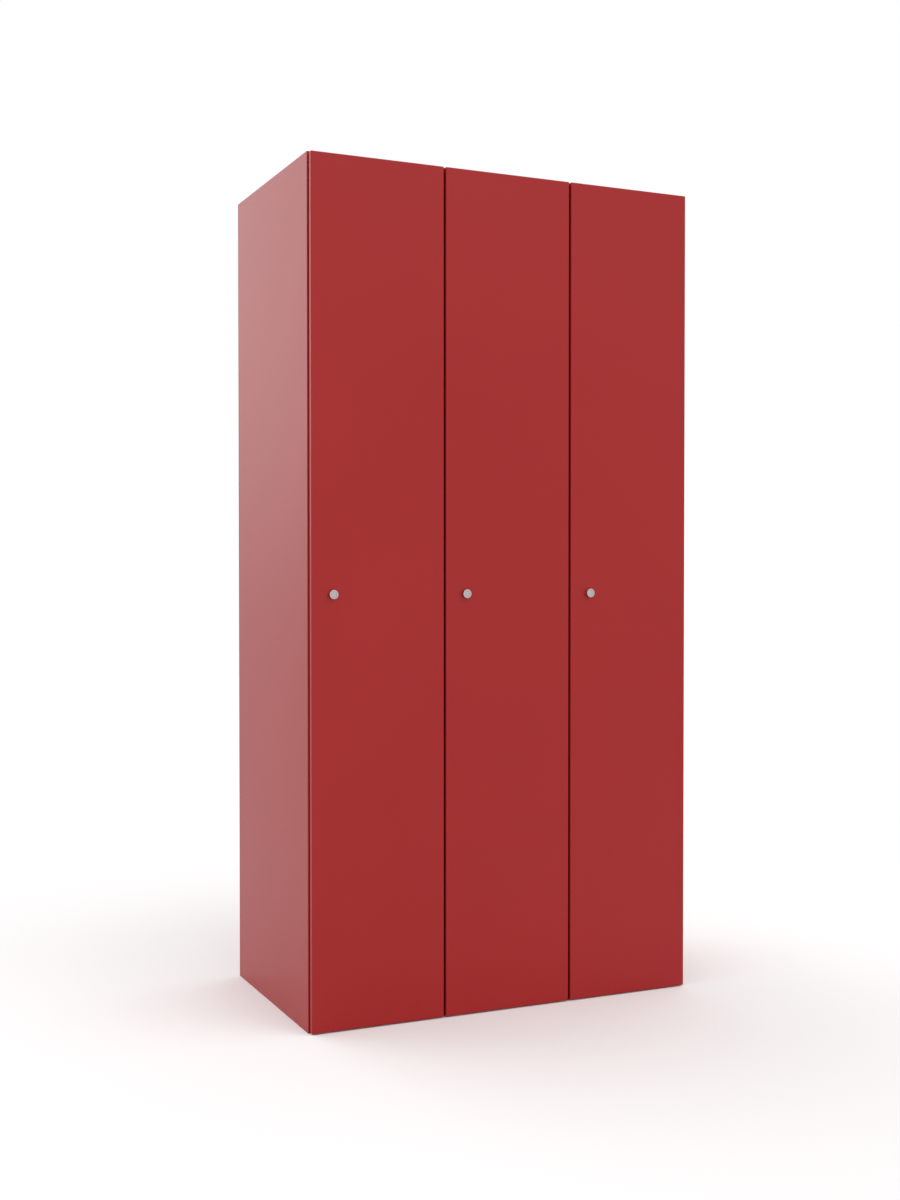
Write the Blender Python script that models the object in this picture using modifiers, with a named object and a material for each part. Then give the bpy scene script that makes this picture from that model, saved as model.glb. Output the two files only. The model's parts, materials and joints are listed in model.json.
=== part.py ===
# Sheet-steel locker bank: three full-height columns with overlay doors and cam locks.
# Metres, +Z up, doors facing -Y, origin on the floor under the middle of the bank.

import math

import bmesh
import bpy
from mathutils import Matrix, Vector

MM = 0.001

# Whole bank
BANK_WIDTH = 900 * MM
BANK_HEIGHT = 1800 * MM
BANK_DEPTH = 505 * MM          # from the door fronts to the back
COLUMN_COUNT = 3

# Folded sheet and its joints
SHEET = 1.0 * MM
SEAM = 0.3 * MM                # clearance between pieces that sit on each other
FOLD_INSIDE = 0.7 * MM         # inner radius of a fold
FRONT_FLANGE = 25 * MM         # frame width beside an opening
FRONT_LIP = 15 * MM            # depth of the return behind the frame
REAR_FLANGE = 20 * MM
TOP_RAIL = 30 * MM             # height of the folded edge of the top
FLOOR_HEIGHT = 40 * MM
TRAY_LIP = 20 * MM
FLANGE_MARGIN = 6 * MM         # from the divider's flange to the lip of the post

# Doors
DOOR_THICKNESS = 12 * MM
DOOR_GAP = 5 * MM              # between neighbouring doors
DOOR_END_GAP = 2.5 * MM        # from a door to the top and to the floor
DOOR_SETOFF = 5 * MM           # from the back of a door to the frame
DOOR_LIP = 18 * MM
DOOR_EDGE_RADIUS = 2 * MM
STIFFENER_CROWN = 40 * MM
STIFFENER_FOOT = 14 * MM

# Hinges
HINGE_LENGTH = 60 * MM
HINGE_END = 180 * MM           # from the door's end to the middle of the hinge
HINGE_LEAF = 1.0 * MM
DOOR_LEAF_WIDTH = 32 * MM
LEAF_MARGIN = 1.0 * MM         # from the frame leaf to the inner edge of the frame
KNUCKLE_RADIUS = 3.2 * MM
PIN_RADIUS = 2.0 * MM
PIN_HEAD_RADIUS = 3.0 * MM
PIN_HEAD_HEIGHT = 1.5 * MM
LUG_THICKNESS = 2.1 * MM
HINGE_PLAY = 1.0 * MM          # around the frame leaf in the door's notch

# Locks
LOCK_INSET = 46 * MM           # from the door's free edge to the lock
LOCK_HEIGHT = 900 * MM
LOCK_PROJECTION = 9 * MM
LOCK_FACE_RADIUS = 9.5 * MM
LOCK_EDGE = 1.0 * MM
BARREL_RADIUS = 8 * MM
PLUG_RADIUS = 6 * MM
PLUG_RECESS = 0.5 * MM
KEYWAY_WIDTH = 1.4 * MM
KEYWAY_HEIGHT = 7 * MM
KEYWAY_DEPTH = 4 * MM
TANG_SIDE = 7 * MM
NUT_RADIUS = 12 * MM
NUT_SIDES = 6
NUT_THICKNESS = 4 * MM
CAM_WIDTH = 16 * MM
CAM_THICKNESS = 2 * MM
CAM_CLEARANCE = 2 * MM
CAM_ENGAGEMENT = 10 * MM       # how far the turned cam reaches behind the frame
SCREW_RADIUS = 1.8 * MM
SCREW_LENGTH = 8 * MM
SCREW_HEAD_RADIUS = 5.5 * MM
SCREW_HEAD_HEIGHT = 2 * MM

# Inner fittings
SHELF_DROP = 300 * MM          # from the top of the bank to the top of the shelf
SHELF_EDGE = 25 * MM
SHELF_LIP = 12 * MM
SHELF_SETBACK = 4 * MM
RAIL_RADIUS = 5 * MM
RAIL_DROP = 50 * MM            # from the shelf to the middle of the rail
RAIL_MARGIN = 40 * MM
RAIL_BEND = 18 * MM
RAIL_BEND_STEPS = 6
BUFFER_RADIUS = 5 * MM
BUFFER_STEPS = 16
BUFFER_END = 300 * MM          # from the door's end to the buffer

# Places that follow from the sizes above
BACK_Y = (BANK_DEPTH + LOCK_PROJECTION) / 2
DOOR_FRONT_Y = BACK_Y - BANK_DEPTH
FRAME_Y = DOOR_FRONT_Y + DOOR_THICKNESS + DOOR_SETOFF
FRAME_MID_Y = FRAME_Y + SHEET / 2
TRAY_FRONT_Y = FRAME_Y + SHEET + SEAM
REAR_FLANGE_Y = BACK_Y - SHEET - SEAM - SHEET / 2
TRAY_REAR_Y = REAR_FLANGE_Y - SHEET / 2 - SEAM
TRAY_HALF_WIDTH = BANK_WIDTH / 2 - SHEET - SEAM
FOLD_RADIUS = FOLD_INSIDE + SHEET / 2
DIVIDER_FLANGE = FRONT_FLANGE - SHEET - FLANGE_MARGIN
PITCH = BANK_WIDTH / COLUMN_COUNT
DOOR_WIDTH = PITCH - DOOR_GAP
DOOR_TOP = BANK_HEIGHT - DOOR_END_GAP
LIP_LOW = FLOOR_HEIGHT + SEAM
LIP_HIGH = BANK_HEIGHT - TOP_RAIL - SEAM
KNUCKLE_HALF = HINGE_LENGTH / 6    # three knuckles share the hinge
PIVOT_INSET = SHEET + SEAM + KNUCKLE_RADIUS
PIVOT_DEPTH = SHEET + SEAM + HINGE_LEAF + SEAM + KNUCKLE_RADIUS
FRAME_LEAF_LEFT = LEAF_MARGIN + DOOR_GAP / 2 + PIVOT_INSET - FRONT_FLANGE
HINGE_HEIGHTS = {"lower": DOOR_END_GAP + HINGE_END, "upper": DOOR_TOP - HINGE_END}
BUFFER_HEIGHTS = {"lower": DOOR_END_GAP + BUFFER_END, "upper": DOOR_TOP - BUFFER_END}
SHELF_TOP = BANK_HEIGHT - SHELF_DROP
CAM_DEPTH = DOOR_THICKNESS + DOOR_SETOFF + SHEET + CAM_CLEARANCE
FLANGE_REACH = DOOR_GAP / 2 + LOCK_INSET - FRONT_FLANGE
CAM_REACH = FLANGE_REACH + CAM_ENGAGEMENT
CAM_SWEEP = math.sqrt(CAM_REACH ** 2 + (CAM_WIDTH / 2) ** 2 - FLANGE_REACH ** 2)
CAM_NOTCH_LOW = LOCK_HEIGHT - CAM_SWEEP - CAM_CLEARANCE
CAM_NOTCH_HIGH = LOCK_HEIGHT + CAM_WIDTH / 2 + CAM_CLEARANCE

FACING_FRONT = (math.radians(90), 0, 0)    # turns a piece's own Z to the front
TOUCH = 0.01 * MM              # two points closer than this are the same place
FOLD_STEPS = 2
ROUND_STEPS = 24
FOLD_ANGLE = math.radians(45)  # an edge that turns more than this is a fold
SMOOTH_ANGLE = math.radians(30)
EMBED = 0.5 * MM               # how far welded shapes run into each other

# Finishes: linear colour, roughness, metallic
RED_PAINT = ((0.361, 0.034, 0.036), 0.35, 0.0)
ZINC_STEEL = ((0.55, 0.55, 0.56), 0.4, 1.0)
BRIGHT_STEEL = ((0.55, 0.55, 0.56), 0.28, 1.0)
NICKEL = ((0.46, 0.45, 0.46), 0.35, 1.0)
RUBBER = ((0.02, 0.02, 0.02), 0.8, 0.0)


def clear_scene():
    for old in list(bpy.data.objects):
        bpy.data.objects.remove(old, do_unlink=True)


def new_collection(name):
    collection = bpy.data.collections.new(name)
    bpy.context.scene.collection.children.link(collection)
    return collection


def finish(name, look):
    colour, roughness, metallic = look
    material = bpy.data.materials.new(name)
    material.use_nodes = True
    shader = material.node_tree.nodes["Principled BSDF"]
    shader.inputs["Base Color"].default_value = (*colour, 1.0)
    shader.inputs["Roughness"].default_value = roughness
    shader.inputs["Metallic"].default_value = metallic
    return material


def red_paint(name):
    return finish(name + "_paint", RED_PAINT)


def place(piece, location, rotation, parent):
    piece.location = location
    piece.rotation_euler = rotation
    piece.parent = parent


def add_part(name, data, material, location=(0, 0, 0), rotation=(0, 0, 0), parent=None):
    piece = bpy.data.objects.new(name, data)
    bank.objects.link(piece)
    place(piece, location, rotation, parent)
    if material.name not in data.materials:
        data.materials.append(material)
    return piece


def add_empty(name, location, rotation=(0, 0, 0), parent=None):
    empty = bpy.data.objects.new(name, None)
    bank.objects.link(empty)
    place(empty, location, rotation, parent)
    return empty


def add_guide(mesh):
    guide = bpy.data.objects.new("guide", mesh)
    guides.objects.link(guide)
    guide.hide_render = True
    guide.display_type = "WIRE"
    return guide


def mesh_from(bm, name):
    mesh = bpy.data.meshes.new(name)
    bmesh.ops.recalc_face_normals(bm, faces=bm.faces)
    bm.to_mesh(mesh)
    bm.free()
    return mesh


def box_mesh(low, high):
    low = Vector(low)
    high = Vector(high)
    bm = bmesh.new()
    matrix = Matrix.Translation((low + high) / 2) @ Matrix.Diagonal((*(high - low), 1))
    bmesh.ops.create_cube(bm, size=1, matrix=matrix)
    return mesh_from(bm, "box")


def rod_mesh(radius, low, high, steps=ROUND_STEPS):
    # Upright cylinder around the local Z axis
    bm = bmesh.new()
    matrix = Matrix.Translation((0, 0, (low + high) / 2))
    bmesh.ops.create_cone(bm, cap_ends=True, segments=steps, radius1=radius, radius2=radius,
                          depth=high - low, matrix=matrix)
    return mesh_from(bm, "rod")


def shaped(base, steps):
    # Adds and takes away solids in turn, and gives the finished mesh
    piece = add_guide(base)
    operands = []
    for operation, mesh in steps:
        operand = add_guide(mesh)
        operands.append(operand)
        boolean = piece.modifiers.new(operation.lower(), "BOOLEAN")
        boolean.operation = operation
        boolean.solver = "EXACT"
        boolean.object = operand
    result = evaluated_mesh(piece)
    for used in (piece, *operands):
        bpy.data.objects.remove(used, do_unlink=True)
    return result


def evaluated_mesh(piece):
    graph = bpy.context.evaluated_depsgraph_get()
    return bpy.data.meshes.new_from_object(piece.evaluated_get(graph))


def turned_mesh(profile):
    # Profile of (radius, height) points, run down the outer side, turned around Z
    mesh = bpy.data.meshes.new("turned")
    count = len(profile)
    closed = profile[0][0] > 0
    edges = [(i, (i + 1) % count) for i in range(count if closed else count - 1)]
    mesh.from_pydata([(radius, 0, height) for radius, height in profile], edges, [])
    piece = add_guide(mesh)
    screw = piece.modifiers.new("turn", "SCREW")
    screw.axis = "Z"
    screw.angle = math.tau
    screw.steps = ROUND_STEPS
    screw.render_steps = ROUND_STEPS
    screw.use_merge_vertices = True
    screw.merge_threshold = TOUCH
    result = evaluated_mesh(piece)
    bpy.data.objects.remove(piece, do_unlink=True)
    result.shade_smooth()
    result.set_sharp_from_angle(angle=SMOOTH_ANGLE)
    return result


def flat_sheet(bm, corner, along, across):
    along = Vector(along)
    across = Vector(across)
    turn = Matrix((along, across, along.cross(across).normalized())).transposed().to_4x4()
    matrix = Matrix.Translation(Vector(corner) + (along + across) / 2) @ turn
    bmesh.ops.create_grid(bm, x_segments=1, y_segments=1, size=0.5, matrix=matrix)


def score(bm, axis, value):
    # Divides the sheet along a plane, so that a fold can end there
    point = Vector((0, 0, 0))
    normal = Vector((0, 0, 0))
    point[axis] = value
    normal[axis] = 1
    geometry = bm.verts[:] + bm.edges[:] + bm.faces[:]
    bmesh.ops.bisect_plane(bm, geom=geometry, dist=TOUCH, plane_co=point, plane_no=normal)


def fold(bm, line, vector, span=None):
    # Turns a flange out of the free edges on a line, given as {axis: place}, within a span of heights
    def chosen(vert):
        if any(abs(vert.co[axis] - value) > TOUCH for axis, value in line.items()):
            return False
        return span is None or span[0] - TOUCH < vert.co.z < span[1] + TOUCH

    edges = [edge for edge in bm.edges if edge.is_boundary and all(chosen(v) for v in edge.verts)]
    made = bmesh.ops.extrude_edge_only(bm, edges=edges)["geom"]
    verts = [item for item in made if isinstance(item, bmesh.types.BMVert)]
    bmesh.ops.translate(bm, verts=verts, vec=vector)


def round_folds(bm, radius):
    bmesh.ops.recalc_face_normals(bm, faces=bm.faces)
    edges = [edge for edge in bm.edges
             if len(edge.link_faces) == 2 and edge.calc_face_angle() > FOLD_ANGLE]
    bmesh.ops.bevel(bm, geom=edges, offset=radius, offset_type="OFFSET", segments=FOLD_STEPS,
                    profile=0.5, affect="EDGES", clamp_overlap=True)


def folded_pan(bm, low, high, open_side, lip):
    # Five sides of a box in outer sizes, with a lip turned in around the open side
    half = Vector((SHEET, SHEET, SHEET)) / 2
    low = Vector(low) + half
    high = Vector(high) - half
    size = high - low
    centre = (low + high) / 2
    bmesh.ops.create_cube(bm, size=1, matrix=Matrix.Translation(centre) @ Matrix.Diagonal((*size, 1)))
    bm.normal_update()
    mouth = max(bm.faces, key=lambda face: face.normal.dot(Vector(open_side)))
    rim = list(mouth.edges)
    bmesh.ops.delete(bm, geom=[mouth], context="FACES_ONLY")
    made = bmesh.ops.extrude_edge_only(bm, edges=rim)["geom"]
    verts = [item for item in made if isinstance(item, bmesh.types.BMVert)]
    turned_in = lip - SHEET / 2
    shrink = [1 if open_side[i] else 1 - 2 * turned_in / size[i] for i in range(3)]
    bmesh.ops.scale(bm, vec=shrink, space=Matrix.Translation(-centre), verts=verts)


def thickened(bm, name):
    # Gives the folded surface its thickness, half to each side
    piece = add_guide(mesh_from(bm, name))
    solidify = piece.modifiers.new("sheet", "SOLIDIFY")
    solidify.thickness = SHEET
    solidify.offset = 0
    solidify.solidify_mode = "NON_MANIFOLD"
    solidify.nonmanifold_thickness_mode = "CONSTRAINTS"
    mesh = evaluated_mesh(piece)
    bpy.data.objects.remove(piece, do_unlink=True)
    return mesh


def lip_spans(latched):
    # Heights of the return lip, which leaves room for the cam on the latch side
    if latched:
        return [(LIP_LOW, CAM_NOTCH_LOW), (CAM_NOTCH_HIGH, LIP_HIGH)]
    return [(LIP_LOW, LIP_HIGH)]


def score_lips(bm):
    for height in (LIP_LOW, CAM_NOTCH_LOW, CAM_NOTCH_HIGH, LIP_HIGH):
        score(bm, 2, height)


def column_line(index):
    # Middle of the frame to the left of a column; the last one closes the bank on the right
    return -BANK_WIDTH / 2 + index * PITCH


def side_panel(name, side, latched):
    wall_x = side * (BANK_WIDTH - SHEET) / 2
    lip_x = side * (BANK_WIDTH / 2 - FRONT_FLANGE + SHEET / 2)
    bm = bmesh.new()
    flat_sheet(bm, (wall_x, FRAME_MID_Y, 0), (0, REAR_FLANGE_Y - FRAME_MID_Y, 0), (0, 0, BANK_HEIGHT))
    score_lips(bm)
    fold(bm, {1: FRAME_MID_Y}, (lip_x - wall_x, 0, 0))
    fold(bm, {1: REAR_FLANGE_Y}, (-side * (REAR_FLANGE - SHEET / 2), 0, 0))
    round_folds(bm, FOLD_RADIUS)
    for span in lip_spans(latched):
        fold(bm, {0: lip_x, 1: FRAME_MID_Y}, (0, FRONT_LIP - SHEET / 2, 0), span)
    return add_part(name, thickened(bm, name), red_paint(name))


def front_post(name, line):
    half = FRONT_FLANGE - SHEET / 2
    bm = bmesh.new()
    flat_sheet(bm, (-half, FRAME_MID_Y, 0), (2 * half, 0, 0), (0, 0, BANK_HEIGHT))
    score_lips(bm)
    for edge_x, latched in ((-half, False), (half, True)):
        for span in lip_spans(latched):
            fold(bm, {0: edge_x, 1: FRAME_MID_Y}, (0, FRONT_LIP - SHEET / 2, 0), span)
    return add_part(name, thickened(bm, name), red_paint(name), location=(line, 0, 0))


def divider(name, line):
    # Web behind the post, with a flange on it and its upper corners cut back for the top
    front = TRAY_FRONT_Y + SHEET / 2
    rear = BACK_Y - SHEET - SEAM
    top = BANK_HEIGHT - SHEET - SEAM
    tongue_front = TRAY_FRONT_Y + TRAY_LIP + SEAM
    tongue_rear = TRAY_REAR_Y - TRAY_LIP - SEAM
    bm = bmesh.new()
    flat_sheet(bm, (0, front, LIP_LOW), (0, rear - front, 0), (0, 0, top - LIP_LOW))
    score(bm, 2, LIP_HIGH)
    score(bm, 1, tongue_front)
    score(bm, 1, tongue_rear)
    corners = []
    for face in bm.faces:
        middle = face.calc_center_median()
        if middle.z > LIP_HIGH and not tongue_front < middle.y < tongue_rear:
            corners.append(face)
    bmesh.ops.delete(bm, geom=corners, context="FACES")
    fold(bm, {1: front}, (-DIVIDER_FLANGE, 0, 0))
    round_folds(bm, FOLD_RADIUS)
    return add_part(name, thickened(bm, name), red_paint(name), location=(line, 0, 0))


def back_panel():
    low = (-BANK_WIDTH / 2, BACK_Y - SHEET, 0)
    high = (BANK_WIDTH / 2, BACK_Y, BANK_HEIGHT)
    return add_part("back_panel", box_mesh(low, high), red_paint("back_panel"))


def tray(name, bottom, top):
    bm = bmesh.new()
    low = (-TRAY_HALF_WIDTH, TRAY_FRONT_Y, bottom)
    high = (TRAY_HALF_WIDTH, TRAY_REAR_Y, top)
    folded_pan(bm, low, high, (0, 0, -1), TRAY_LIP)
    round_folds(bm, FOLD_RADIUS)
    return add_part(name, thickened(bm, name), red_paint(name))


def compartment_walls(column):
    # Inner faces of the two walls of a column
    left = column_line(column) + (SHEET if column == 0 else SHEET / 2)
    right = column_line(column + 1) - (SHEET if column == COLUMN_COUNT - 1 else SHEET / 2)
    return left, right


def hat_shelf(name, column):
    left, right = compartment_walls(column)
    bm = bmesh.new()
    low = (left + SEAM, FRAME_Y + FRONT_LIP + SHELF_SETBACK, SHELF_TOP - SHELF_EDGE)
    high = (right - SEAM, TRAY_REAR_Y, SHELF_TOP)
    folded_pan(bm, low, high, (0, 0, -1), SHELF_LIP)
    round_folds(bm, FOLD_RADIUS)
    return add_part(name, thickened(bm, name), red_paint(name))


def clothes_rail(name, column):
    # Round rod whose two ends turn up to the underside of the shelf
    left, right = compartment_walls(column)
    half_span = (right - left) / 2 - RAIL_MARGIN
    middle = ((left + right) / 2, (FRAME_Y + BACK_Y) / 2, SHELF_TOP - SHEET - SEAM)
    corner = [(half_span, 0)]
    for step in range(RAIL_BEND_STEPS + 1):
        angle = math.radians(90) * step / RAIL_BEND_STEPS
        corner.append((half_span - RAIL_BEND * (1 - math.cos(angle)),
                       -RAIL_DROP + RAIL_BEND * (1 - math.sin(angle))))
    route = [(-x, z) for x, z in corner] + corner[::-1]
    curve = bpy.data.curves.new(name, "CURVE")
    curve.dimensions = "3D"
    curve.bevel_depth = RAIL_RADIUS
    curve.bevel_resolution = 2
    curve.use_fill_caps = True
    spline = curve.splines.new("POLY")
    spline.points.add(len(route) - 1)
    for point, (x, z) in zip(spline.points, route):
        point.co = (x, 0, z, 1)
    return add_part(name, curve, finish(name + "_steel", BRIGHT_STEEL), location=middle)


def door_skin_mesh():
    # Pan with its front at -Y, around the hinge axis, notched for the hinges and bored for the lock
    low = Vector((PIVOT_INSET - DOOR_WIDTH, -PIVOT_DEPTH, DOOR_END_GAP))
    high = Vector((PIVOT_INSET, DOOR_THICKNESS - PIVOT_DEPTH, DOOR_TOP))
    bm = bmesh.new()
    folded_pan(bm, low, high, (0, 1, 0), DOOR_LIP)
    round_folds(bm, DOOR_EDGE_RADIUS - SHEET / 2)
    cuts = []
    for height in HINGE_HEIGHTS.values():
        reach = HINGE_LENGTH / 2 + HINGE_PLAY
        notch_low = (FRAME_LEAF_LEFT - HINGE_PLAY, -KNUCKLE_RADIUS / 2, height - reach)
        notch_high = (PIVOT_INSET + HINGE_PLAY, DOOR_THICKNESS, height + reach)
        cuts.append(("DIFFERENCE", box_mesh(notch_low, notch_high)))
    bore = rod_mesh(BARREL_RADIUS + SEAM, -2 * SHEET, 2 * SHEET)
    bore.transform(lock_place() @ Matrix.Rotation(math.radians(90), 4, "X"))
    cuts.append(("DIFFERENCE", bore))
    return shaped(thickened(bm, "door_skin"), cuts)


def lock_place():
    # The lock's place on the door front, seen from the hinge axis
    return Matrix.Translation((PIVOT_INSET - DOOR_WIDTH + LOCK_INSET, -PIVOT_DEPTH, LOCK_HEIGHT))


def stiffener_mesh():
    # Hat channel inside the door, with its feet on the front sheet and its crown under the lips
    foot_y = SHEET + SEAM + SHEET / 2 - PIVOT_DEPTH
    crown_y = DOOR_THICKNESS - SHEET - SEAM - SHEET / 2 - PIVOT_DEPTH
    middle = PIVOT_INSET - DOOR_WIDTH / 2
    low = DOOR_END_GAP + SHEET + SEAM + DOOR_EDGE_RADIUS
    high = DOOR_TOP - SHEET - SEAM - DOOR_EDGE_RADIUS
    bm = bmesh.new()
    corner = (middle - STIFFENER_CROWN / 2, crown_y, low)
    flat_sheet(bm, corner, (STIFFENER_CROWN, 0, 0), (0, 0, high - low))
    for side in (-1, 1):
        edge_x = middle + side * STIFFENER_CROWN / 2
        fold(bm, {0: edge_x}, (0, foot_y - crown_y, 0))
        fold(bm, {0: edge_x, 1: foot_y}, (side * STIFFENER_FOOT, 0, 0))
    return thickened(bm, "door_stiffener")


def hinge_bore():
    return rod_mesh(PIN_RADIUS + SEAM, -HINGE_LENGTH, HINGE_LENGTH)


def frame_leaf_mesh():
    # Plate on the frame with a lug that carries the middle knuckle
    middle = KNUCKLE_HALF
    plate_back = FRAME_Y - DOOR_FRONT_Y - PIVOT_DEPTH - SEAM
    plate = box_mesh((FRAME_LEAF_LEFT, plate_back - HINGE_LEAF, -HINGE_LENGTH / 2),
                     (KNUCKLE_RADIUS, plate_back, HINGE_LENGTH / 2))
    lug_left = SEAM - KNUCKLE_RADIUS
    lug_right = lug_left + LUG_THICKNESS
    lug = box_mesh((lug_left, 0, SEAM - middle), (lug_right, plate_back - HINGE_LEAF / 2, middle - SEAM))
    knuckle = rod_mesh(KNUCKLE_RADIUS, -middle, middle)
    return shaped(plate, [("UNION", lug), ("UNION", knuckle), ("DIFFERENCE", hinge_bore())])


def door_leaf_mesh():
    # Plate on the inside of the door front with the two outer knuckles
    middle = KNUCKLE_HALF
    end = HINGE_LENGTH / 2
    plate_front = -PIVOT_DEPTH + SHEET + SEAM
    plate_back = plate_front + HINGE_LEAF
    steps = []
    for low, high in ((-end, -middle - SEAM), (middle + SEAM, end)):
        neck_low = (-KNUCKLE_RADIUS + SEAM, plate_front + HINGE_LEAF / 2, low + SEAM)
        neck_high = (0, -PIN_RADIUS - 2 * SEAM, high - SEAM)
        steps.append(("UNION", box_mesh(neck_low, neck_high)))
        steps.append(("UNION", rod_mesh(KNUCKLE_RADIUS, low, high)))
    steps.append(("DIFFERENCE", hinge_bore()))
    plate = box_mesh((-DOOR_LEAF_WIDTH, plate_front, -end - SEAM), (SEAM, plate_back, end + SEAM))
    return shaped(plate, steps)


def hinge_pin_mesh():
    end = HINGE_LENGTH / 2
    head = end + SEAM
    return turned_mesh([(0, head + PIN_HEAD_HEIGHT), (PIN_HEAD_RADIUS, head + PIN_HEAD_HEIGHT),
                        (PIN_HEAD_RADIUS, head), (PIN_RADIUS, head), (PIN_RADIUS, -end), (0, -end)])


def lock_housing_mesh():
    bore = PLUG_RADIUS + SEAM
    rear = SEAM - CAM_DEPTH
    return turned_mesh([(bore, LOCK_PROJECTION), (LOCK_FACE_RADIUS - LOCK_EDGE, LOCK_PROJECTION),
                        (LOCK_FACE_RADIUS, LOCK_PROJECTION - LOCK_EDGE), (LOCK_FACE_RADIUS, SEAM),
                        (BARREL_RADIUS, SEAM), (BARREL_RADIUS, rear), (bore, rear)])


def lock_nut_mesh():
    high = -SHEET - SEAM
    nut = rod_mesh(NUT_RADIUS, high - NUT_THICKNESS, high, steps=NUT_SIDES)
    return shaped(nut, [("DIFFERENCE", rod_mesh(BARREL_RADIUS + SEAM, -CAM_DEPTH, SEAM))])


def lock_plug_mesh():
    face = LOCK_PROJECTION - PLUG_RECESS
    rear = SEAM - CAM_DEPTH
    plug = turned_mesh([(0, face), (PLUG_RADIUS, face), (PLUG_RADIUS, rear), (0, rear)])
    half = TANG_SIDE / 2
    tang = box_mesh((-half, -half, rear - CAM_THICKNESS), (half, half, rear + EMBED))
    hole = rod_mesh(SCREW_RADIUS + SEAM, rear - 2 * CAM_THICKNESS, rear + SCREW_LENGTH)
    keyway = box_mesh((-KEYWAY_WIDTH / 2, -KEYWAY_HEIGHT / 2, face - KEYWAY_DEPTH),
                      (KEYWAY_WIDTH / 2, KEYWAY_HEIGHT / 2, face + EMBED))
    return shaped(plug, [("UNION", tang), ("DIFFERENCE", hole), ("DIFFERENCE", keyway)])


def lock_cam_mesh():
    # Flat bar that points down while the lock is open
    half = CAM_WIDTH / 2
    bar = box_mesh((-half, -CAM_REACH, -CAM_DEPTH - CAM_THICKNESS), (half, half, -CAM_DEPTH))
    side = TANG_SIDE / 2 + SEAM
    hole = box_mesh((-side, -side, -2 * CAM_DEPTH), (side, side, 0))
    return shaped(bar, [("DIFFERENCE", hole)])


def cam_screw_mesh():
    head = -CAM_DEPTH - CAM_THICKNESS - SEAM
    return turned_mesh([(0, head + SCREW_LENGTH), (SCREW_RADIUS, head + SCREW_LENGTH), (SCREW_RADIUS, head),
                        (SCREW_HEAD_RADIUS, head), (SCREW_HEAD_RADIUS, head - SCREW_HEAD_HEIGHT),
                        (0, head - SCREW_HEAD_HEIGHT)])


def buffer_mesh():
    return rod_mesh(BUFFER_RADIUS, SEAM, DOOR_SETOFF - SEAM, steps=BUFFER_STEPS)


def build_cabinet():
    side_panel("left_side_panel", -1, latched=True)
    side_panel("right_side_panel", 1, latched=False)
    back_panel()
    tray("top_panel", BANK_HEIGHT - TOP_RAIL, BANK_HEIGHT)
    tray("floor_panel", 0, FLOOR_HEIGHT)
    for index in range(1, COLUMN_COUNT):
        front_post(f"front_post_{index}", column_line(index))
        divider(f"divider_{index}", column_line(index))


def build_fittings():
    leaf = frame_leaf_mesh()
    leaf_steel = finish("frame_leaf_steel", ZINC_STEEL)
    buffer = buffer_mesh()
    rubber = finish("buffer_rubber", RUBBER)
    for column in range(COLUMN_COUNT):
        number = column + 1
        hat_shelf(f"hat_shelf_{number}", column)
        clothes_rail(f"clothes_rail_{number}", column)
        for end, height in HINGE_HEIGHTS.items():
            spot = (*pivot_place(column), height)
            add_part(f"hinge_frame_leaf_{end}_{number}", leaf, leaf_steel, location=spot)
        for end, height in BUFFER_HEIGHTS.items():
            spot = (column_line(column) + FRONT_FLANGE / 2, FRAME_Y, height)
            add_part(f"door_buffer_{end}_{number}", buffer, rubber, location=spot, rotation=FACING_FRONT)


def pivot_place(column):
    # The hinge axis stands inside the door, at its right edge
    return column_line(column + 1) - DOOR_GAP / 2 - PIVOT_INSET, DOOR_FRONT_Y + PIVOT_DEPTH


def build_doors():
    on_door = {"door_skin": (door_skin_mesh(), red_paint("door_skin")),
               "door_stiffener": (stiffener_mesh(), red_paint("door_stiffener"))}
    on_hinge = {"hinge_door_leaf": (door_leaf_mesh(), finish("door_leaf_steel", ZINC_STEEL)),
                "hinge_pin": (hinge_pin_mesh(), finish("pin_steel", BRIGHT_STEEL))}
    on_lock = {"lock_housing": (lock_housing_mesh(), finish("housing_nickel", NICKEL)),
               "lock_nut": (lock_nut_mesh(), finish("nut_nickel", NICKEL))}
    turning = {"lock_plug": (lock_plug_mesh(), finish("plug_nickel", NICKEL)),
               "lock_cam": (lock_cam_mesh(), finish("cam_steel", ZINC_STEEL)),
               "cam_screw": (cam_screw_mesh(), finish("screw_steel", ZINC_STEEL))}
    for column in range(COLUMN_COUNT):
        number = column + 1
        axis = add_empty(f"door_axis_{number}", (*pivot_place(column), 0))
        seat = add_empty(f"lock_seat_{number}", lock_place().translation, FACING_FRONT, axis)
        lock_axis = add_empty(f"lock_axis_{number}", (0, 0, 0), parent=seat)
        for name, (mesh, material) in on_door.items():
            add_part(f"{name}_{number}", mesh, material, parent=axis)
        for end, height in HINGE_HEIGHTS.items():
            for name, (mesh, material) in on_hinge.items():
                add_part(f"{name}_{end}_{number}", mesh, material, location=(0, 0, height), parent=axis)
        for name, (mesh, material) in on_lock.items():
            add_part(f"{name}_{number}", mesh, material, parent=seat)
        for name, (mesh, material) in turning.items():
            add_part(f"{name}_{number}", mesh, material, parent=lock_axis)


clear_scene()
bank = new_collection("locker_bank")
guides = new_collection("locker_bank_guides")
build_cabinet()
build_fittings()
build_doors()
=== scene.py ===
import json
import math

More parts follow.
